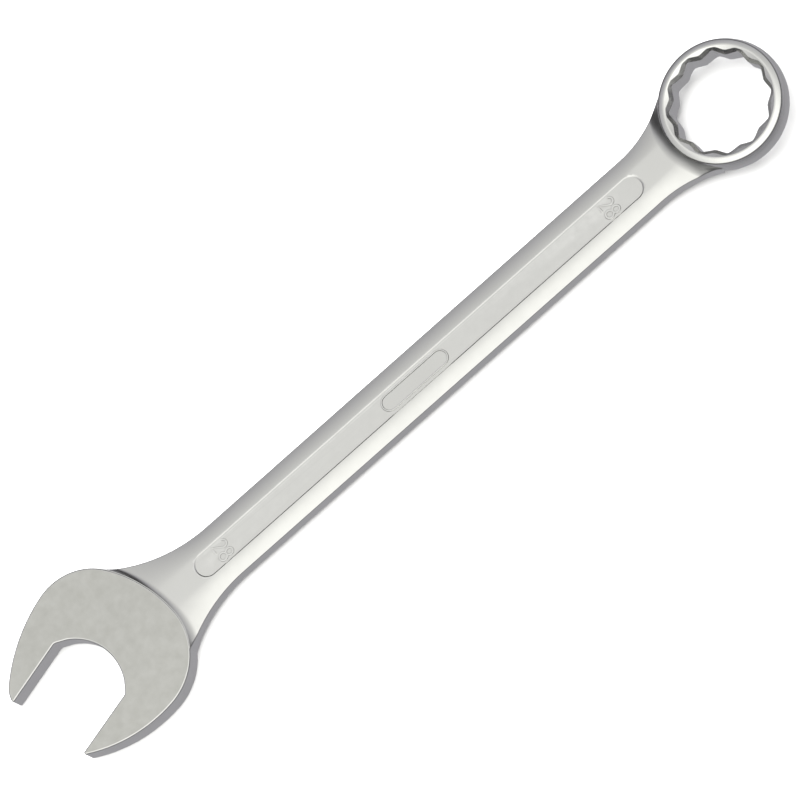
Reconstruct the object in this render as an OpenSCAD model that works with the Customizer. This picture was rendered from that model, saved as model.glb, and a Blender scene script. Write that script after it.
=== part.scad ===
// Combination wrench: an open jaw at one end and a raised 12-point ring at the
// other, forged in one piece. Millimetres, +Z up, +X from the jaw to the ring.
// The origin is the centre of a nut held in the jaw, on the jaw's middle plane.

/* [Open jaw] */
// size of the nut across its flats
across_flats = 28; // [27:0.5:28.5]
// gap between the nut and the jaw, across the flats
jaw_clearance = 0.3; // [0.1:0.1:0.6]
// turn of the jaw's mouth away from the shank's line, in degrees
jaw_angle = 15; // [12:1:18]
// distance between the jaw's two ground faces
jaw_thickness = 8.3; // [7:0.1:10]
// radius of the hollow behind the nut
throat_radius = 17; // [15.5:0.5:20]
// depth of that hollow behind the nut's centre
throat_depth = 8.4; // [7:0.1:10]

/* [Ring] */
// distance from the jaw's centre to the ring's centre, along the shank
ring_distance = 259.9; // [240:0.1:280]
// height of the ring's centre above the jaw's middle plane
ring_rise = 4.8; // [4:0.1:8]
// tilt of the ring, far edge upwards, in degrees
ring_tilt = 6; // [0:1:10]
// distance between the ring's two faces
ring_thickness = 10.6; // [9:0.1:14]
// largest radius of the ring's rounded wall
ring_radius = 20.5; // [20:0.1:23]
// outer radius of the ring's flat faces
face_radius = 17.4; // [17.2:0.1:19.5]
// radius of the bevelled mouth at each face
mouth_radius = 17; // [16.5:0.1:17.8]
// slope of the mouth's bevel from the face, in degrees
mouth_slope = 35; // [20:1:45]

/* [Shank] */
// width of the shank
shank_width = 18.9; // [16:0.1:22]
// height of the shank's side walls
side_height = 5.2; // [4:0.1:6]
// thickness of the shank along its middle
shank_thickness = 6.8; // [6:0.1:8]
// sideways distance of the shank's line from the jaw's centre
shank_shift = 0.6; // [0:0.1:1]
// width of the sunk panel along the shank
panel_width = 8.2; // [6:0.1:10]
// depth of the sunk panel
panel_depth = 0.25; // [0.1:0.05:0.5]
// start of the panel, from the jaw's centre
panel_start = 45; // [40:1:60]
// end of the panel, from the jaw's centre
panel_end = 226; // [200:1:230]

/* [Necks] */
// radius of the shank's flare into the jaw
jaw_flare_radius = 52; // [50:1:60]
// distance from the jaw's centre to the start of that flare
jaw_flare_start = 56; // [50:1:62]
// radius of the shank's flare into the ring
ring_flare_radius = 38; // [30:1:45]
// length of the slope that lifts the ring
rise_length = 20; // [15:1:25]

/* [Hidden] */
$fn = 96;
eps = 0.01;

jaw_gap = across_flats + jaw_clearance;
// Head outline from the tip of the upper horn round the back to the tip of the
// lower horn: tangent arcs as [radius, turn to the right in degrees].
horn_tip = [-23.4, 8.5];
head_arcs = [[0.65, 115], [8.4, 34], [55.5, 30], [19.5, 71.5], [46.5, 32.5], [21.3, 84.5], [48, 37.5], [0.6, 134]];
mouth_length = 40;
arc_step = 5;
rise_steps = 16;
wall_step = 15;
wall_fullness = 0.6;
head_root = 20;

point_radius = jaw_gap / 2 / cos(30);
mouth_depth = (mouth_radius - jaw_gap / 2) * tan(mouth_slope);
flare_centre_y = shank_width / 2 + ring_flare_radius;
flare_reach = sqrt(pow(ring_radius + ring_flare_radius, 2) - pow(flare_centre_y, 2));
ring_flare_start = ring_distance - flare_reach;
rise_start = ring_distance - ring_radius - rise_length / 2;
ring_reach = ring_distance - ring_radius * flare_reach / (ring_radius + ring_flare_radius);

// Points of a chain of tangent arcs that starts at p with the given heading.
function arc_chain(p, heading, arcs, i = 0) =
    i >= len(arcs) ? [p] :
    let (
        r = arcs[i][0],
        turn = arcs[i][1],
        centre = p + r * [sin(heading), -cos(heading)],
        steps = ceil(turn / arc_step),
        arc = [for (k = [0:steps]) centre + r * [cos(heading + 90 - turn * k / steps), sin(heading + 90 - turn * k / steps)]]
    )
    concat([for (k = [0:steps - 1]) arc[k]], arc_chain(arc[steps], heading - turn, arcs, i + 1));

// Smooth step from 0 to 1 as t goes from 0 to 1.
function ease(t) = let (u = min(max(t, 0), 1)) u * u * (3 - 2 * u);

// Height of the neck's middle plane at distance x from the jaw's centre.
function neck_height(x) = (ring_rise - ring_radius * sin(ring_tilt)) * ease((x - rise_start) / rise_length);

// Slot for the nut: straight flats, then the hollow throat behind the nut.
module jaw_slot() {
    rotate(jaw_angle)
        intersection() {
            translate([-mouth_length, -jaw_gap / 2]) square([2 * mouth_length, jaw_gap]);
            union() {
                translate([-mouth_length, -jaw_gap / 2]) square([mouth_length, jaw_gap]);
                translate([throat_depth - throat_radius, 0]) circle(r = throat_radius);
            }
        }
}

module jaw_head() {
    translate([0, 0, -jaw_thickness / 2])
        linear_extrude(jaw_thickness)
            difference() {
                polygon(arc_chain(horn_tip, 180 + jaw_angle, head_arcs));
                jaw_slot();
            }
}

// Plan of a flare: a strip whose two edges curve away on circles.
module flare_plan(from_x, to_x, centre_x, radius) {
    difference() {
        translate([from_x, -shank_width]) square([to_x - from_x, 2 * shank_width]);
        for (side = [-1, 1])
            translate([centre_x, side * (shank_width / 2 + radius)]) circle(r = radius, $fn = 360);
    }
}

module jaw_neck() {
    translate([0, 0, -side_height / 2])
        linear_extrude(side_height)
            flare_plan(head_root, jaw_flare_start, jaw_flare_start, jaw_flare_radius);
}

// Shank with side walls, two sloping bevels and a sunk panel on both sides.
module shank() {
    length = ring_flare_start + eps - head_root;
    section = [
        [-shank_width / 2, side_height / 2], [-panel_width / 2, shank_thickness / 2],
        [panel_width / 2, shank_thickness / 2], [shank_width / 2, side_height / 2],
        [shank_width / 2, -side_height / 2], [panel_width / 2, -shank_thickness / 2],
        [-panel_width / 2, -shank_thickness / 2], [-shank_width / 2, -side_height / 2]
    ];
    difference() {
        translate([head_root, 0, 0])
            rotate([90, 0, 90])
                linear_extrude(length) polygon(section);
        for (face = [0, 1])
            mirror([0, 0, face])
                translate([0, 0, shank_thickness / 2 - panel_depth])
                    linear_extrude(shank_thickness) panel_plan();
    }
}

module panel_plan() {
    inset = panel_width / 2;
    translate([panel_start + inset, -inset]) square([panel_end - panel_start - panel_width, panel_width]);
    for (x = [panel_start + inset, panel_end - inset])
        translate([x, 0]) circle(r = inset);
}

// Neck that widens into the ring and climbs to its height.
module ring_neck() {
    xs = [for (k = [0:rise_steps]) ring_flare_start + (ring_reach - ring_flare_start) * k / rise_steps];
    side_profile = concat(
        [for (x = xs) [x, neck_height(x) + side_height / 2]],
        [for (k = [rise_steps:-1:0]) [xs[k], neck_height(xs[k]) - side_height / 2]]
    );
    intersection() {
        rotate([90, 0, 0])
            translate([0, 0, -shank_width])
                linear_extrude(2 * shank_width) polygon(side_profile);
        translate([0, 0, -shank_width])
            linear_extrude(2 * shank_width)
                flare_plan(ring_flare_start, ring_reach, ring_flare_start, ring_flare_radius);
    }
}

// Runs its children in the ring's own frame, with Z along the nut's axis.
module at_ring() {
    translate([ring_distance, 0, ring_rise]) rotate([0, -ring_tilt, 0]) children();
}

// Solid barrel of the ring: flat faces joined by a bulging wall with full shoulders.
module ring_barrel() {
    half = ring_thickness / 2;
    bulge = ring_radius - face_radius;
    wall = [for (a = [-90:wall_step:90]) [face_radius + bulge * pow(cos(a), wall_fullness), half * sin(a)]];
    rotate_extrude() polygon(concat([[0, -half]], wall, [[0, half]]));
}

// Cutter for the ring: two hexagons make the 12 points, two cones the mouths.
module ring_socket() {
    translate([0, 0, -ring_thickness])
        linear_extrude(2 * ring_thickness)
            for (turn = [0, 30])
                rotate(turn)
                    polygon([for (k = [0:5]) point_radius * [cos(60 * k), sin(60 * k)]]);
    for (face = [0, 1])
        mirror([0, 0, face])
            translate([0, 0, ring_thickness / 2 - mouth_depth])
                cylinder(h = 2 * mouth_depth, r1 = jaw_gap / 2, r2 = 2 * mouth_radius - jaw_gap / 2);
}

module wrench() {
    color([0.72, 0.72, 0.7])
        union() {
            jaw_head();
            translate([0, shank_shift, 0]) {
                jaw_neck();
                shank();
                difference() {
                    union() {
                        ring_neck();
                        at_ring() ring_barrel();
                    }
                    at_ring() ring_socket();
                }
            }
        }
}

wrench();
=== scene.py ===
"""Combination wrench, size 28: an open jaw and a raised 12-point ring on one shank.

The real tool is a single chrome-plated forging, so it is one piece here as well.
Head, body and ring are made as closed meshes and joined into one skin, then the
sunk panels are cut and the raised marks are added. Lengths are millimetres until
a mesh is made; MM makes metres. X runs from the jaw to the ring and Z is up.
"""

from math import ceil, cos, pi, radians, sin, sqrt, tan

import bmesh
import bpy
import numpy as np
from mathutils import Matrix, Vector


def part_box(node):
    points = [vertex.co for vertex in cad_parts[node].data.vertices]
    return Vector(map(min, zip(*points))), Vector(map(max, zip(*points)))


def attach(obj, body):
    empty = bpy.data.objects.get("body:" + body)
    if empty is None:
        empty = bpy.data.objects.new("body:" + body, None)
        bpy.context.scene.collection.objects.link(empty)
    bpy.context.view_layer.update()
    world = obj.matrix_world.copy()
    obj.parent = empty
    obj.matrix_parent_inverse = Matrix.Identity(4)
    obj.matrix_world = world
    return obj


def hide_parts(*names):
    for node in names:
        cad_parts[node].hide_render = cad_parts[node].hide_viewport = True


MM = 0.001

# Jaw, with the head's outline as (radius, turn in degrees) from the upper horn to the lower
ACROSS_FLATS = 28.3
JAW_ANGLE = radians(15)
THROAT_RADIUS = 17.0
THROAT_DEPTH = 8.4
THROAT_CORNER = 1.5
HORN_TIP = (-23.4, 8.5)
HEAD_ARCS = [
    (0.65, 115),
    (8.4, 34),
    (55.5, 30),
    (19.5, 71.5),
    (46.5, 32.5),
    (21.3, 84.5),
    (48, 37.5),
    (0.6, 134),
]
HEAD_RIM = 0.5
HEAD_INSET = 0.03
MOUTH_X = -20.0

# Step from the head's face down to the neck
STEP_WIDTH = 1.7
STEP_CORNER = 1.3
STEP_LIP = 0.15

# Shank
SHIFT = 0.6
SHANK_HALF = 9.45
CENTRE_HEIGHT = 3.4
EDGE_HEIGHT = 2.6
EDGE_RADIUS = 0.35
CROWN_START = 0.2
PANEL_HALF = 4.1
PANEL_DEPTH = 0.25
PANEL_WALL = 0.36
PANEL_START = 45.0
PANEL_END = 226.0
CUTTER_REACH = 2.0

# Raised marks in the panel: plain oval frame, and the size at both ends
FRAME_CENTRE = 134.0
FRAME_LENGTH = 25.6
FRAME_HALF = 2.6
FRAME_LINE = 0.3
MARK_HEIGHT = 0.24
FAINT_MARK_HEIGHT = 0.12
RING_END_MARK = 213.3
JAW_END_MARK = 55.7
LINE_SIDE = 0.35
LINE_ROOT = 0.25
DIGIT_LINE = 0.5
DIGIT_HEIGHT = 5.0
DIGIT_WIDTH = 2.5
DIGIT_GAP = 3.3

# Necks
JAW_FLARE_START = 56.0
JAW_FLARE_RADIUS = 52.0
RING_FLARE_START = 225.7
RING_FLARE_RADIUS = 38.0
FLARE_LIMIT = 0.98
RISE_START = 222.0
RISE_LENGTH = 32.0
RISE_HEIGHT = 2.66

# Rows of the body: straight between these two places, curved round the head and ring beyond
STRAIGHT_START = 62.0
STRAIGHT_END = 220.0
ROW_POINTS = 241
ROOT_DEPTH = 0.4
ROOT_LENGTH = 1.0
BACK_START = 5
BACK_HALF = 26
ARC_SPAN = radians(60)
TOUCH_MARGIN = 0.1
HIDDEN_MARGIN = 0.3
STEP_ROWS = 14
JAW_NECK_ROWS = 15
SHANK_ROWS = 80
RING_NECK_ROWS = 25
SKIRT_ROWS = 13
HIDDEN_ROWS = 16

# Ring
RING_X = 259.9
RING_RISE = 4.8
RING_TILT = radians(6)
RING_HALF = 5.26
FACE_RADIUS = 17.6
RING_ARCS = [(1.5, 14), (8, 8), (0.8, 45), (11.47, 23)]
MOUTH_RADIUS = 17.3
DISH_SLOPE = radians(20)
BEVEL_RADIUS = 16.95
BEVEL_WIDTH = 1.25
BEVEL_SLOPE = radians(45)
SOCKET_POINTS = 12
TIP_ROUNDING = 2.0
CORNER_ROUNDING = 1.2
STAR_TURN = radians(-2)
STAR_EDGE = 1.0
FOOT_ROUNDING = 0.4
BEVEL_ROUNDING = 0.1
FACE_ROUNDING = 0.3

# Skirt from the neck to the ring: it ends on the shoulder in the middle, on the wall at the sides
SKIRT_RADIUS = 23.5
FLARE_TOUCH = 20.5
SHOULDER_RADIUS = 18.6
WALL_INSET = 0.2
SIDE_START = radians(36)
SIDE_SPAN = radians(18)
SHOULDER_SLOPE = 0.95
SIDE_SLOPE = 1.5
SLOPE_STEP = 0.2
SKIRT_POWERS = (1.2, 6)
HIDDEN_SLOPE = 0.4
MERGE_START = 234.0
MERGE_LENGTH = 13.8

# Room mirrored by the metal: angle from the light in degrees, brightness, tint
LIGHT_DIRECTION = (-0.15, -0.35, 0.92)
ROOM_STRENGTH = 1.42
WARM, NEUTRAL, COOL = (1.0, 1.0, 0.97), (1.0, 1.0, 0.99), (0.95, 0.94, 1.0)
ROOM_LEVELS = [
    (120, 0.32, COOL),
    (100, 0.20, COOL),
    (80, 0.26, COOL),
    (68, 0.40, COOL),
    (56, 0.45, NEUTRAL),
    (46, 0.49, NEUTRAL),
    (40, 0.63, NEUTRAL),
    (34, 0.76, WARM),
    (24, 0.98, WARM),
    (12, 1.0, WARM),
]
# Brightness of the room by the height of the direction, with a dark band at the horizon
HORIZON_LEVELS = [(-0.5, 1.0), (-0.25, 0.5), (-0.05, 0.08), (0.28, 0.1), (0.38, 0.5), (0.5, 1.0)]

# Fill that whitens the floor and isn't mirrored, in metres and watts
FILL_TARGET = (0.13, 0, 0)
FILL_DIRECTION = (-0.1, 0.3, 1)
FILL_DISTANCE = 2.2
FILL_SIZE = 2.5
FILL_POWER = 100

# Floor: half its side in metres, and its gap below the wrench in millimetres
FLOOR_REACH = 2.0
FLOOR_GAP = 0.02

# Camera: its place in metres, its lens and sensor in millimetres
CAMERA_LOOK = (0.12655, 0.00007, 0)
CAMERA_DIRECTION = (0.04876, -0.34804, 1)
CAMERA_DISTANCE = 1.45
CAMERA_TURN = radians(41.517)
CAMERA_LENS = 213.36
CAMERA_SENSOR = 36

# Metal: tone clouds and rubbed edges, with grain sizes in millimetres
CLOUD_SIZE = 26
CLOUD_TONE = 0.965
RUB_SIZE = 3
WORN_EDGE = (0.86, 0.86, 0.84)
WORN_ANGLE = radians(40)
GLOSS_SPREAD = 0.08
GLOSS_GRAINS = 6
SHARP_ANGLE = radians(34)

# Material slots of the wrench, after the satin plate in slot 0
GROUND, POLISHED = 1, 2


def ease(t):
    """Smooth step from 0 to 1 as t goes from 0 to 1."""
    u = np.clip(t, 0, 1)
    return u * u * (3 - 2 * u)


def mesh_object(name, points, faces):
    """Closed mesh from points in millimetres, with its faces turned outwards."""
    mesh = bpy.data.meshes.new(name)
    mesh.from_pydata([tuple(p) for p in np.asarray(points) * MM], [], faces)
    solid = bmesh.new()
    solid.from_mesh(mesh)
    if solid.calc_volume(signed=True) < 0:
        mesh.flip_normals()
    solid.free()
    piece = bpy.data.objects.new(name, mesh)
    bpy.context.collection.objects.link(piece)
    return piece


def loft(name, loops, caps="flat"):
    """Solid through a stack of closed loops of points.

    Its ends are flat faces, or strips of quads between a loop's two mirrored halves
    where the end is curved, or nothing where the last loop joins the first ("ring").
    """
    count, size = len(loops), len(loops[0])
    faces = []
    for k in range(count if caps == "ring" else count - 1):
        here, ahead = k * size, (k + 1) % count * size
        faces += [(here + i, here + (i + 1) % size, ahead + (i + 1) % size, ahead + i) for i in range(size)]
    last = (count - 1) * size
    if caps == "flat":
        faces += [tuple(range(size))[::-1], tuple(range(last, last + size))]
    if caps == "strip":
        for i in range(size // 2 - 1):
            quad = (i, i + 1, size - 2 - i, size - 1 - i)
            faces += [quad[::-1], tuple(last + corner for corner in quad)]
    return mesh_object(name, np.concatenate(loops), faces)


def with_height(outline, height):
    """3-D loop from a 2-D outline."""
    return np.column_stack([outline, np.full(len(outline), height)])


def round_corners(points, radii, steps):
    """Closed outline with each corner replaced by a tangent arc of its own radius."""
    points = np.asarray(points, float)
    rounded = []
    for i, (corner, radius) in enumerate(zip(points, radii)):
        if radius == 0:
            rounded.append(corner)
            continue
        back = points[i - 1] - corner
        ahead = points[(i + 1) % len(points)] - corner
        back /= np.linalg.norm(back)
        ahead /= np.linalg.norm(ahead)
        half_angle = np.arccos(np.clip(back @ ahead, -1, 1)) / 2
        reach = radius / tan(half_angle)
        middle = back + ahead
        centre = corner + middle / np.linalg.norm(middle) * radius / sin(half_angle)
        first = corner + back * reach - centre
        last = corner + ahead * reach - centre
        sweep = pi - 2 * half_angle
        for t in np.linspace(0, 1, steps + 1):
            blend = (sin((1 - t) * sweep) * first + sin(t * sweep) * last) / sin(sweep)
            rounded.append(centre + blend)
    return np.array(rounded)


def outward_normals(outline):
    """Unit normals of a closed counter-clockwise outline, one at each point."""
    edges = np.roll(outline, -1, axis=0) - outline
    edges /= np.linalg.norm(edges, axis=1)[:, None]
    tangents = edges + np.roll(edges, 1, axis=0)
    tangents /= np.linalg.norm(tangents, axis=1)[:, None]
    return np.column_stack([tangents[:, 1], -tangents[:, 0]])


def arc_chain(start, heading, arcs, step=radians(3)):
    """Points along tangent arcs given as (radius, turn to the right in degrees)."""
    points = [np.array(start, float)]
    for radius, turn in arcs:
        turn = radians(turn)
        centre = points[-1] + radius * np.array([sin(heading), -cos(heading)])
        steps = ceil(turn / step)
        for k in range(1, steps + 1):
            angle = heading + pi / 2 - turn * k / steps
            points.append(centre + radius * np.array([cos(angle), sin(angle)]))
        heading -= turn
    return np.array(points)


# ---------------------------------------------------------------- open jaw


def slot_outline():
    """The jaw's inner edge from the lower horn round the throat to the upper horn."""
    half = ACROSS_FLATS / 2
    centre = THROAT_DEPTH - THROAT_RADIUS
    reach = sqrt(THROAT_RADIUS**2 - half**2)
    edge = np.arcsin(half / THROAT_RADIUS)
    throat = [(centre + THROAT_RADIUS * cos(a), THROAT_RADIUS * sin(a)) for a in np.linspace(-edge, edge, 25)]
    corner_in = (centre + reach, half)
    rough = [(MOUTH_X, -half), (corner_in[0], -half)] + throat[3:-3] + [corner_in, (MOUTH_X, half)]
    radii = [0, THROAT_CORNER] + [0] * (len(throat) - 6) + [THROAT_CORNER, 0]
    inner = round_corners(rough, radii, 8)[1:-1]
    axis = np.array([cos(JAW_ANGLE), sin(JAW_ANGLE)])
    across = np.array([-axis[1], axis[0]])
    return inner[:, :1] * axis + inner[:, 1:] * across


def head_outline():
    """Counter-clockwise outline of the head with its slot."""
    outer = arc_chain(HORN_TIP, pi + JAW_ANGLE, HEAD_ARCS)
    return np.concatenate([outer[::-1], slot_outline()[::-1]])


def rim_levels(half, rim, steps=4):
    """Pairs of inset and height that round both rims of a flat plate."""
    angles = np.linspace(0, pi / 2, steps + 1)
    top = [(rim * (1 - cos(a)), half - rim * (1 - sin(a))) for a in angles]
    return [(inset, -height) for inset, height in top[::-1]] + top


def build_head(half):
    """Flat-faced open jaw with softly rounded rims."""
    outline = head_outline()
    normals = outward_normals(outline)
    levels = rim_levels(half, HEAD_RIM)
    loops = []
    for inset, height in levels:
        loops.append(with_height(outline - normals * (HEAD_INSET + inset), height))
    head = loft("head", loops)
    for face in head.data.polygons[-2:]:
        face.material_index = GROUND
    return head


# ---------------------------------------------------------------- body


def half_width(x):
    """Half the body's width at x: the straight shank and its two circular flares."""
    jaw_side = np.clip(JAW_FLARE_START - x, 0, FLARE_LIMIT * JAW_FLARE_RADIUS)
    ring_side = np.clip(x - RING_FLARE_START, 0, FLARE_LIMIT * RING_FLARE_RADIUS)
    jaw_flare = JAW_FLARE_RADIUS - np.sqrt(JAW_FLARE_RADIUS**2 - jaw_side**2)
    ring_flare = RING_FLARE_RADIUS - np.sqrt(RING_FLARE_RADIUS**2 - ring_side**2)
    return SHANK_HALF + jaw_flare + ring_flare


def rise(x):
    """Height of the neck's middle plane, which climbs to the ring."""
    return RISE_HEIGHT * ease((x - RISE_START) / RISE_LENGTH)


def ring_plane(x):
    """Height of the tilted ring's middle plane."""
    return RING_RISE + (x - RING_X) * tan(RING_TILT)


def crowned(x, y):
    """Height of the body's surface above its middle plane: flat centre, crowned bevels."""
    outer = half_width(x) - EDGE_RADIUS
    s = np.clip((abs(y) - PANEL_HALF) / (outer - PANEL_HALF), 0, 1)
    return CENTRE_HEIGHT - (CENTRE_HEIGHT - EDGE_HEIGHT) * (CROWN_START * s + (1 - CROWN_START) * s * s)


def ring_wall():
    """Upper half of the ring's outer section, as radii and heights from its face down."""
    points = arc_chain((FACE_RADIUS, RING_HALF), 0, RING_ARCS)
    return points[:, 0], points[:, 1]


def skirt_height(radius, angle):
    """Height above the ring's plane of the skirt that climbs from the neck to the ring.

    In the middle it ends on the ring's shoulder, and towards both sides on its wall.
    """

    def neck_at(r):
        x, y = RING_X - r * np.cos(angle), r * np.sin(angle)
        return rise(x) + crowned(x, y) - ring_plane(x)

    wall_radii, wall_heights = ring_wall()
    side = ease((abs(angle) - SIDE_START) / SIDE_SPAN)
    joint_radius = SHOULDER_RADIUS + (wall_radii[-1] - WALL_INSET - SHOULDER_RADIUS) * side
    joint_height = np.interp(joint_radius, wall_radii, wall_heights)
    joint_slope = SHOULDER_SLOPE + SIDE_SLOPE * side
    start = neck_at(SKIRT_RADIUS)
    neck_slope = (start - neck_at(SKIRT_RADIUS + SLOPE_STEP)) / SLOPE_STEP
    reach = SKIRT_RADIUS - joint_radius
    climb = joint_height - start - neck_slope * reach
    power = np.clip((joint_slope - neck_slope) * reach / climb, *SKIRT_POWERS)
    t = np.clip((SKIRT_RADIUS - radius) / reach, 0, 1)
    hidden = np.clip(joint_radius - radius, 0, None)
    return start + neck_slope * reach * t + climb * t**power - HIDDEN_SLOPE * hidden


class Row:
    """One loop of the body, placed in plan by q, which runs from -1 to 1 across it.

    offset is its distance outside the head's outline, and radius its distance from
    the ring's centre, where it has one.
    """

    def __init__(self, q, x, y=None, offset=None, radius=None):
        self.q, self.x, self.y = q, x, y
        self.offset = offset
        self.radius = radius

    def plan(self, q):
        """Places in plan at the positions q across the row."""
        x = np.interp(q, self.q, self.x)
        if self.y is None:
            return x, q * half_width(x)
        return x, np.interp(q, self.q, self.y)


def curve_row(points, **settings):
    """Row along a plan curve, cut off where it crosses the body's edges."""
    x, y = points[:, 0], points[:, 1] - SHIFT
    q = y / half_width(x)
    middle = np.argmin(abs(q))
    upper = middle + np.argmax(q[middle:] >= 1)
    lower = middle - np.argmax(q[middle::-1] <= -1)
    keep = slice(lower, upper + 1)
    return Row(np.maximum.accumulate(q[keep]), x[keep], **settings)


def head_back(offset):
    """The back of the head's outline from low to high y, moved outwards by offset."""
    outer = arc_chain(HORN_TIP, pi + JAW_ANGLE, HEAD_ARCS, step=radians(0.5))[::-1]
    moved = outer + outward_normals(outer) * offset
    back = (moved[:, 0] > BACK_START) & (abs(moved[:, 1]) < BACK_HALF)
    return moved[back]


def ring_arc(radius):
    """Circle around the ring's centre, from low to high y."""
    angle = np.linspace(-ARC_SPAN, ARC_SPAN, 481)
    return np.column_stack([RING_X - radius * np.cos(angle), SHIFT + radius * np.sin(angle)])


def body_rows():
    """All rows of the body from inside the head to inside the ring."""
    root = curve_row(head_back(-ROOT_DEPTH), offset=0.0)
    rows = [Row(root.q, root.x - ROOT_LENGTH, offset=0.0), root]
    for offset in np.linspace(0, 1, STEP_ROWS) ** 1.5 * (STEP_WIDTH + STEP_CORNER):
        rows.append(curve_row(head_back(offset), offset=offset))
    q = np.linspace(-1, 1, ROW_POINTS)
    at_head, _ = rows[-1].plan(q)
    for t in np.linspace(0, 1, JAW_NECK_ROWS)[1:]:
        rows.append(Row(q, at_head + (STRAIGHT_START - at_head) * t))
    for x in np.linspace(STRAIGHT_START, STRAIGHT_END, SHANK_ROWS)[1:]:
        rows.append(Row(q, np.full_like(q, x)))
    skirt_foot = curve_row(ring_arc(SKIRT_RADIUS))
    at_ring, _ = skirt_foot.plan(q)
    for t in np.linspace(0, 1, RING_NECK_ROWS)[1:-1]:
        rows.append(Row(q, STRAIGHT_END + (at_ring - STRAIGHT_END) * t))
    for radius in np.linspace(SKIRT_RADIUS, FLARE_TOUCH + TOUCH_MARGIN, SKIRT_ROWS):
        rows.append(curve_row(ring_arc(radius), radius=radius))
    last_x, last_y = rows[-1].plan(q)
    angle = np.arctan2(last_y, RING_X - last_x)
    for radius in np.linspace(FLARE_TOUCH - TOUCH_MARGIN, FACE_RADIUS + HIDDEN_MARGIN, HIDDEN_ROWS):
        x, y = RING_X - radius * np.cos(angle), radius * np.sin(angle)
        rows.append(Row(q, x, y, radius=radius))
    return rows


def section_columns():
    """Positions round the body's section as (lateral, outward, drop, face) arrays.

    lateral runs from -1 to 1 across the top, outward and drop follow the rounded
    edge in edge radii, and face is 1 for the top and -1 for the bottom.
    """
    bevel = np.linspace(0, 1, 13)
    lateral = np.concatenate([-1 - bevel[::-1], np.linspace(-1, 1, 9)[1:-1], 1 + bevel])
    corner = [(2.0, sin(a), 1 - cos(a), 1) for a in np.linspace(0, pi / 2, 6)[1:]]
    upper = [(-v, -o, d, f) for v, o, d, f in corner[::-1]]
    upper += [(v, 0.0, 0.0, 1) for v in lateral]
    upper += corner
    lower = [(v, o, d, -f) for v, o, d, f in upper[::-1]]
    return np.array(upper + lower).T


def build_body(head_half):
    """Neck, shank and neck as one skin of rows."""
    lateral, outward, drop, face = section_columns()
    wall_radii, wall_heights = ring_wall()
    loops = []
    for row in body_rows():
        edge_x, _ = row.plan(np.sign(lateral + 1e-9))
        width = half_width(edge_x)
        outer = width - EDGE_RADIUS
        beyond = np.clip(abs(lateral) - 1, 0, 1)
        flat = np.clip(lateral, -1, 1) * PANEL_HALF
        y = flat + np.sign(lateral) * beyond * (outer - PANEL_HALF) + outward * EDGE_RADIUS
        q = y / width
        x, y = row.plan(q)
        surface = crowned(x, y)
        top = rise(x) + surface
        if row.radius is not None:
            angle = np.arctan2(y, RING_X - x)
            top = ring_plane(x) + skirt_height(row.radius, angle)
        bottom = rise(x) - surface
        if row.offset is not None:
            reach = STEP_WIDTH + STEP_CORNER * ease(-q)
            step = np.clip(1 - row.offset / reach, 0, 1) ** 2
            top += (head_half - STEP_LIP - top) * step
            bottom += (-head_half + STEP_LIP - bottom) * step
        z = np.where(face > 0, top - drop * EDGE_RADIUS, bottom + drop * EDGE_RADIUS)
        merge = ease((x - MERGE_START) / MERGE_LENGTH) * (beyond >= 1)
        lean = wall_radii[-1] - np.interp(abs(z - ring_plane(x)), wall_heights[::-1], wall_radii[::-1])
        y = y - np.sign(lateral) * merge * lean
        loops.append(np.column_stack([x, y + SHIFT, z]))
    return loft("body", loops, caps="strip")


# ---------------------------------------------------------------- ring


def star_outline():
    """The socket's 12-point outline, with round metal points and crisp recesses."""
    recess = ACROSS_FLATS / 2 / cos(pi / 6)
    point = ACROSS_FLATS / 2 / cos(pi / 12)
    corners, radii = [], []
    for k in range(2 * SOCKET_POINTS):
        reach = point if k % 2 else recess
        angle = k * pi / SOCKET_POINTS + STAR_TURN
        corners.append((reach * cos(angle), reach * sin(angle)))
        radii.append(TIP_ROUNDING if k % 2 else CORNER_ROUNDING)
    return split_long_edges(round_corners(corners, radii, 5), STAR_EDGE)


def split_long_edges(outline, longest):
    """Closed outline with points added so that no edge is longer than given."""
    points = []
    for here, ahead in zip(outline, np.roll(outline, -1, axis=0)):
        parts = ceil(np.linalg.norm(ahead - here) / longest)
        points += [here + (ahead - here) * k / parts for k in range(parts)]
    return np.array(points)


def ring_profile(socket_radius):
    """Closed section of the ring's wall where the socket is socket_radius from the axis."""
    bevel_radius = min(socket_radius + BEVEL_WIDTH, BEVEL_RADIUS)
    bevel_top = RING_HALF - (MOUTH_RADIUS - bevel_radius) * tan(DISH_SLOPE)
    bevel_foot = bevel_top - (bevel_radius - socket_radius) * tan(BEVEL_SLOPE)
    upper = [
        (socket_radius, 0),
        (socket_radius, bevel_foot),
        (bevel_radius, bevel_top),
        (MOUTH_RADIUS, RING_HALF),
    ]
    half_wall = list(zip(*ring_wall()))
    wall = half_wall + [(r, -z) for r, z in half_wall[-2::-1]]
    lower = [(r, -z) for r, z in upper[:0:-1]]
    mouth = [FOOT_ROUNDING, BEVEL_ROUNDING, FACE_ROUNDING]
    radii = [0] + mouth + [0] * len(wall) + mouth[::-1]
    return round_corners(upper + wall + lower, radii, 4)


def build_ring():
    """Barrel-shaped ring around its 12-point socket, tilted and lifted into place."""
    star = star_outline()
    angles = np.arctan2(star[:, 1], star[:, 0])
    reaches = np.linalg.norm(star, axis=1)
    loops = []
    for angle, reach in zip(angles, reaches):
        r, z = ring_profile(reach).T
        loops.append(np.column_stack([r * cos(angle), r * sin(angle), z]))
    ring = loft("ring", loops, caps="ring")
    for face in ring.data.polygons:
        if abs(face.normal.z) > 0.3:
            face.material_index = POLISHED
    ring.data.transform(Matrix.Rotation(-RING_TILT, 4, "Y"))
    ring.data.transform(Matrix.Translation(Vector((RING_X, SHIFT, RING_RISE)) * MM))
    return ring


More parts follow.
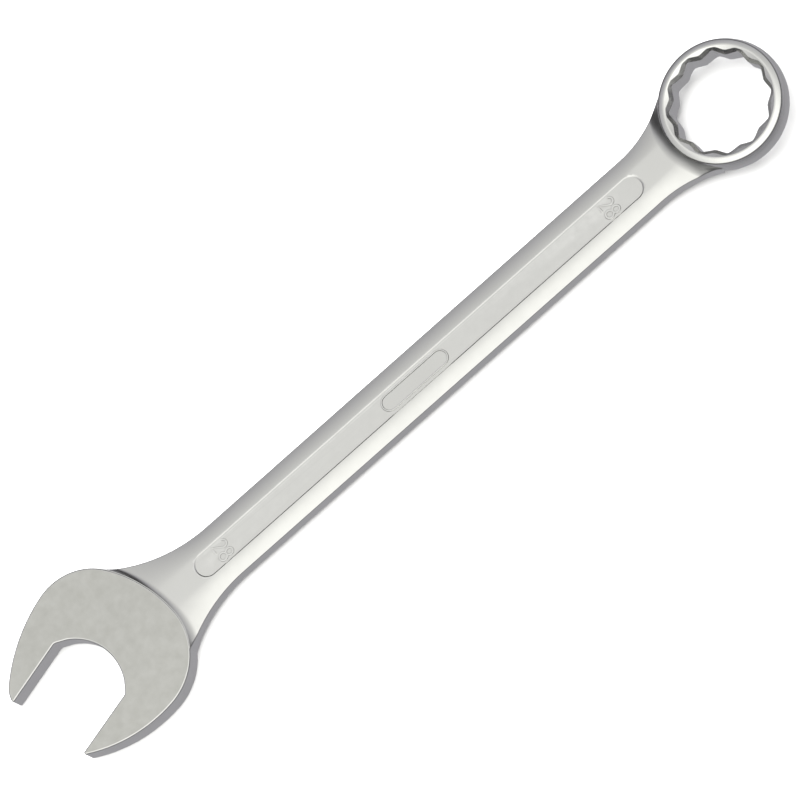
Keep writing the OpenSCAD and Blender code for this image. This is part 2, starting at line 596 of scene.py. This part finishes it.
# ---------------------------------------------------------------- panels and marks


def capsule(start, end, half, steps=24):
    """Counter-clockwise outline of a strip with round ends along the shank."""
    right = [(end - half + half * cos(a), half * sin(a)) for a in np.linspace(-pi / 2, pi / 2, steps)]
    left = [(start + half - half * cos(a), -half * sin(a)) for a in np.linspace(-pi / 2, pi / 2, steps)]
    return np.array(right + left) + (0, SHIFT)


def build_panel_cutter(face):
    """Cutter for a shallow panel with sloping walls, on the top (1) or bottom (-1) face."""
    floor = CENTRE_HEIGHT - PANEL_DEPTH
    slope = PANEL_DEPTH / PANEL_WALL
    loops = []
    for grow in (0, CUTTER_REACH):
        inset = PANEL_WALL - grow
        outline = capsule(PANEL_START + inset, PANEL_END - inset, PANEL_HALF - inset)
        loops.append(with_height(outline, face * (floor + grow * slope)))
    return loft("panel_cutter", loops)


def raised_line(path, width, height, closed):
    """Low ridge with sloping sides along a path on the panel's floor."""
    path = np.asarray(path)
    floor = CENTRE_HEIGHT - PANEL_DEPTH
    ahead = np.roll(path, -1, axis=0) - path
    if not closed:
        ahead[-1] = ahead[-2]
    ahead /= np.linalg.norm(ahead, axis=1)[:, None]
    before = np.roll(ahead, 1, axis=0)
    if not closed:
        before[0] = ahead[0]
    mean = ahead + before
    mean /= np.linalg.norm(mean, axis=1)[:, None]
    across = np.column_stack([-mean[:, 1], mean[:, 0]])
    top = width / 2
    foot = top + LINE_SIDE
    section = [(-foot, -LINE_ROOT), (-top, height), (top, height), (foot, -LINE_ROOT)]
    loops = [
        np.array([[*(point + normal * side), floor + level] for side, level in section])
        for point, normal in zip(path, across)
    ]
    return loft("raised_line", loops, caps="ring" if closed else "flat")


def oval(centre, radii, start=0.0, end=2 * pi, steps=20):
    """Points of an ellipse or of a part of it."""
    angles = np.linspace(start, end, steps + 1)
    return [(centre[0] + radii[0] * cos(a), centre[1] + radii[1] * sin(a)) for a in angles]


def size_mark(x, height):
    """The digits 2 and 8, upright when the ring end is up."""
    w, h = DIGIT_WIDTH / 2, DIGIT_HEIGHT / 2
    two = oval((-DIGIT_GAP / 2, 0.48 * h), (0.95 * w, 0.5 * h), radians(170), radians(-25), 10)
    two += [(-DIGIT_GAP / 2 - w, -h), (-DIGIT_GAP / 2 + w, -h)]
    upper = oval((DIGIT_GAP / 2, 0.5 * h), (0.85 * w, 0.48 * h))[:-1]
    lower = oval((DIGIT_GAP / 2, -0.5 * h), (w, 0.52 * h))[:-1]
    digits = []
    for path, closed in [(two, False), (upper, True), (lower, True)]:
        placed = [(x + v, SHIFT - u) for u, v in path]
        digits.append(raised_line(placed, DIGIT_LINE, height, closed))
    return digits


def build_marks():
    """All raised marks, as closed pieces that reach a little below the panel's floor."""
    half = FRAME_LENGTH / 2
    frame_path = capsule(FRAME_CENTRE - half, FRAME_CENTRE + half, FRAME_HALF, steps=16)
    frame_path = split_long_edges(frame_path, 2.0)
    marks = [raised_line(frame_path, FRAME_LINE, MARK_HEIGHT, True)]
    marks += size_mark(RING_END_MARK, MARK_HEIGHT)
    marks += size_mark(JAW_END_MARK, FAINT_MARK_HEIGHT)
    return marks


# ---------------------------------------------------------------- assembly


def combine(target, tool, operation):
    """Applies an exact boolean with tool to target and deletes tool."""
    modifier = target.modifiers.new(operation, "BOOLEAN")
    modifier.object = tool
    modifier.operation = operation
    modifier.solver = "EXACT"
    modifier.material_mode = "INDEX"
    graph = bpy.context.evaluated_depsgraph_get()
    joined = bpy.data.meshes.new_from_object(target.evaluated_get(graph))
    target.modifiers.clear()
    target.data = joined
    bpy.data.objects.remove(tool)


def mark_edges(mesh):
    """Stores how sharply each vertex stands out, for the brighter worn edges."""
    solid = bmesh.new()
    solid.from_mesh(mesh)
    wear = [0.0] * len(solid.verts)
    for edge in solid.edges:
        sharpness = min(max(edge.calc_face_angle_signed(0) / WORN_ANGLE, 0), 1)
        for vertex in edge.verts:
            wear[vertex.index] = max(wear[vertex.index], sharpness)
    solid.free()
    attribute = mesh.attributes.new("edge_wear", "FLOAT", "POINT")
    attribute.data.foreach_set("value", wear)


def build_wrench(head_half):
    """The whole wrench as one closed mesh."""
    materials = [satin_chrome(), ground_chrome(), polished_chrome()]
    parts = [build_body(head_half), build_head(head_half), build_ring()]
    cutters = [build_panel_cutter(1), build_panel_cutter(-1)]
    marks = build_marks()
    for part in parts + cutters + marks:
        for material in materials:
            part.data.materials.append(material)
    wrench = parts[0]
    for part in parts[1:]:
        combine(wrench, part, "UNION")
    for cutter in cutters:
        combine(wrench, cutter, "DIFFERENCE")
    for mark in marks:
        combine(wrench, mark, "UNION")
    wrench.name = "wrench_forging"
    mark_edges(wrench.data)
    wrench.data.shade_smooth()
    wrench.data.set_sharp_from_angle(angle=SHARP_ANGLE)
    weighted = wrench.modifiers.new("even_shading", "WEIGHTED_NORMAL")
    weighted.keep_sharp = True
    return wrench


# ---------------------------------------------------------------- materials


def noise(tree, size, detail):
    """Noise fixed to the wrench, with grains of the given size in millimetres."""
    where = tree.nodes.new("ShaderNodeTexCoord")
    texture = tree.nodes.new("ShaderNodeTexNoise")
    texture.inputs["Scale"].default_value = 1 / (size * MM)
    texture.inputs["Detail"].default_value = detail
    tree.links.new(where.outputs["Object"], texture.inputs["Vector"])
    return texture.outputs["Fac"]


def spread(tree, value, low, high):
    """Stretches the usual range of a noise to run from low to high."""
    mapped = tree.nodes.new("ShaderNodeMapRange")
    mapped.inputs["From Min"].default_value = 0.3
    mapped.inputs["From Max"].default_value = 0.7
    mapped.inputs["To Min"].default_value = low
    mapped.inputs["To Max"].default_value = high
    tree.links.new(value, mapped.inputs["Value"])
    return mapped.outputs["Result"]


def clouded(tree, colour):
    """Colour with wide, faint clouds of a slightly darker tone."""
    tone = tree.nodes.new("ShaderNodeMix")
    tone.data_type = "RGBA"
    tone.inputs["A"].default_value = (*[c * CLOUD_TONE for c in colour], 1)
    tone.inputs["B"].default_value = (*colour, 1)
    tree.links.new(spread(tree, noise(tree, CLOUD_SIZE, 1), 0, 1), tone.inputs["Factor"])
    return tone.outputs["Result"]


def worn(tree, colour):
    """The given colour output, brighter and patchy along the sharp edges."""
    edge = tree.nodes.new("ShaderNodeAttribute")
    edge.attribute_name = "edge_wear"
    rubbed = tree.nodes.new("ShaderNodeMath")
    rubbed.operation = "MULTIPLY"
    tree.links.new(edge.outputs["Fac"], rubbed.inputs[0])
    tree.links.new(spread(tree, noise(tree, RUB_SIZE, 3), 0.3, 1.0), rubbed.inputs[1])
    mixed = tree.nodes.new("ShaderNodeMix")
    mixed.data_type = "RGBA"
    mixed.inputs["B"].default_value = (*WORN_EDGE, 1)
    tree.links.new(rubbed.outputs["Value"], mixed.inputs["Factor"])
    tree.links.new(colour, mixed.inputs["A"])
    return mixed.outputs["Result"]


def metal(name, colour, roughness, grain, bump):
    """Plated steel, with its grain size and bump height in millimetres."""
    material = bpy.data.materials.new(name)
    material.use_nodes = True
    tree = material.node_tree
    shader = tree.nodes["Principled BSDF"]
    shader.inputs["Metallic"].default_value = 1.0
    tree.links.new(worn(tree, clouded(tree, colour)), shader.inputs["Base Color"])

    smoother = roughness * (1 - GLOSS_SPREAD)
    rougher = roughness * (1 + GLOSS_SPREAD)
    gloss = spread(tree, noise(tree, grain * GLOSS_GRAINS, 3), smoother, rougher)
    tree.links.new(gloss, shader.inputs["Roughness"])

    relief = tree.nodes.new("ShaderNodeBump")
    relief.inputs["Strength"].default_value = 1.0
    relief.inputs["Distance"].default_value = bump * MM
    tree.links.new(noise(tree, grain, 4), relief.inputs["Height"])
    tree.links.new(relief.outputs["Normal"], shader.inputs["Normal"])
    return material


def satin_chrome():
    """Soft plate on the forged surfaces."""
    return metal("satin_chrome", (0.74, 0.74, 0.72), 0.3, 0.45, 0.006)


def ground_chrome():
    """Duller plate on the jaw's ground faces."""
    return metal("ground_chrome", (0.57, 0.57, 0.535), 0.42, 0.3, 0.002)


def polished_chrome():
    """Brighter plate on the ring's faces and mouth."""
    return metal("polished_chrome", (0.8, 0.8, 0.78), 0.22, 0.3, 0.0015)


def floor_paint():
    """Matt pale floor."""
    material = bpy.data.materials.new("pale_floor")
    material.use_nodes = True
    shader = material.node_tree.nodes["Principled BSDF"]
    shader.inputs["Base Color"].default_value = (0.93, 0.93, 0.93, 1)
    shader.inputs["Roughness"].default_value = 0.9
    shader.inputs["Specular IOR Level"].default_value = 0.0
    return material


# ---------------------------------------------------------------- stage, light and camera


def build_floor(height):
    """Large plain floor under the wrench."""
    reach = FLOOR_REACH
    corners = [(-reach, -reach), (reach, -reach), (reach, reach), (-reach, reach)]
    mesh = bpy.data.meshes.new("floor")
    mesh.from_pydata([(x, y, height) for x, y in corners], [], [(0, 1, 2, 3)])
    mesh.materials.append(floor_paint())
    floor = bpy.data.objects.new("floor", mesh)
    bpy.context.collection.objects.link(floor)
    floor.visible_glossy = False


def build_fill():
    """Soft light over the wrench that only whitens the floor, as the metal doesn't mirror it."""
    direction = Vector(FILL_DIRECTION)
    data = bpy.data.lights.new("floor_fill", "AREA")
    data.size = FILL_SIZE
    data.energy = FILL_POWER
    light = bpy.data.objects.new("floor_fill", data)
    light.location = Vector(FILL_TARGET) + direction.normalized() * FILL_DISTANCE
    light.rotation_euler = direction.to_track_quat("Z", "Y").to_euler()
    light.visible_glossy = False
    bpy.context.collection.objects.link(light)


def set_stops(color_ramp, stops):
    """Gives a colour ramp its stops, as (position, colour) with rising positions."""
    elements = color_ramp.elements
    for element in list(elements)[1:]:
        elements.remove(element)
    for k, (place, colour) in enumerate(stops):
        element = elements[0] if k == 0 else elements.new(place)
        element.position = place
        element.color = (*colour, 1)


def graded(tree, value, stops):
    """Colour for a value from -1 to 1, from stops of (value, colour)."""
    position = tree.nodes.new("ShaderNodeMapRange")
    position.inputs["From Min"].default_value = -1
    tree.links.new(value, position.inputs["Value"])
    ramp = tree.nodes.new("ShaderNodeValToRGB")
    set_stops(ramp.color_ramp, [((1 + place) / 2, colour) for place, colour in stops])
    tree.links.new(position.outputs["Result"], ramp.inputs["Fac"])
    return ramp.outputs["Color"]


def build_room():
    """Room that the metal mirrors: brightest towards the light, with a dark horizon."""
    world = bpy.data.worlds.new("studio")
    world.use_nodes = True
    tree = world.node_tree
    direction = tree.nodes.new("ShaderNodeTexCoord").outputs["Generated"]
    toward_light = tree.nodes.new("ShaderNodeVectorMath")
    toward_light.operation = "DOT_PRODUCT"
    toward_light.inputs[1].default_value = Vector(LIGHT_DIRECTION).normalized()
    tree.links.new(direction, toward_light.inputs[0])
    room_stops = [(cos(radians(a)), [level * c for c in tint]) for a, level, tint in ROOM_LEVELS]
    room = graded(tree, toward_light.outputs["Value"], room_stops)

    axes = tree.nodes.new("ShaderNodeSeparateXYZ")
    tree.links.new(direction, axes.inputs[0])
    horizon = graded(tree, axes.outputs["Z"], [(z, [level] * 3) for z, level in HORIZON_LEVELS])

    shaded = tree.nodes.new("ShaderNodeMix")
    shaded.data_type = "RGBA"
    shaded.blend_type = "MULTIPLY"
    shaded.inputs["Factor"].default_value = 1.0
    tree.links.new(room, shaded.inputs["A"])
    tree.links.new(horizon, shaded.inputs["B"])
    background = tree.nodes["Background"]
    background.inputs["Strength"].default_value = ROOM_STRENGTH
    tree.links.new(shaded.outputs["Result"], background.inputs["Color"])
    bpy.context.scene.world = world


def build_camera():
    """Camera above the wrench, leaning towards -Y, turned so the wrench runs up to the right."""
    toward = Vector(CAMERA_DIRECTION).normalized()
    along = (Vector((1, 0, 0)) - toward * toward.x).normalized()
    across = toward.cross(along)
    right = along * cos(CAMERA_TURN) - across * sin(CAMERA_TURN)
    up = along * sin(CAMERA_TURN) + across * cos(CAMERA_TURN)
    data = bpy.data.cameras.new("camera")
    data.lens = CAMERA_LENS
    data.sensor_width = CAMERA_SENSOR
    data.clip_end = 10
    camera = bpy.data.objects.new("camera", data)
    axes = Matrix((right, up, toward)).transposed()
    place = Vector(CAMERA_LOOK) + toward * CAMERA_DISTANCE
    camera.matrix_world = Matrix.Translation(place) @ axes.to_4x4()
    bpy.context.collection.objects.link(camera)
    bpy.context.scene.camera = camera


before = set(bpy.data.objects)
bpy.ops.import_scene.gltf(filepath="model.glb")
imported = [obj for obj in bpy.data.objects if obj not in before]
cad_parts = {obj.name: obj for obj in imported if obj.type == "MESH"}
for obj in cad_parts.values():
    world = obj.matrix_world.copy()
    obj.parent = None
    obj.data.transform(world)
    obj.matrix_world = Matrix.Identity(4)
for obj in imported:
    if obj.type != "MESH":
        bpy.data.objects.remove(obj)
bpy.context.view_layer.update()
low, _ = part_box("wrench")

build_camera()
build_room()
build_fill()
bpy.context.scene.view_settings.view_transform = "Standard"
build_floor(low[2] - FLOOR_GAP * MM)

wrench = build_wrench(-low[2] / MM)
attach(wrench, "root")
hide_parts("wrench")
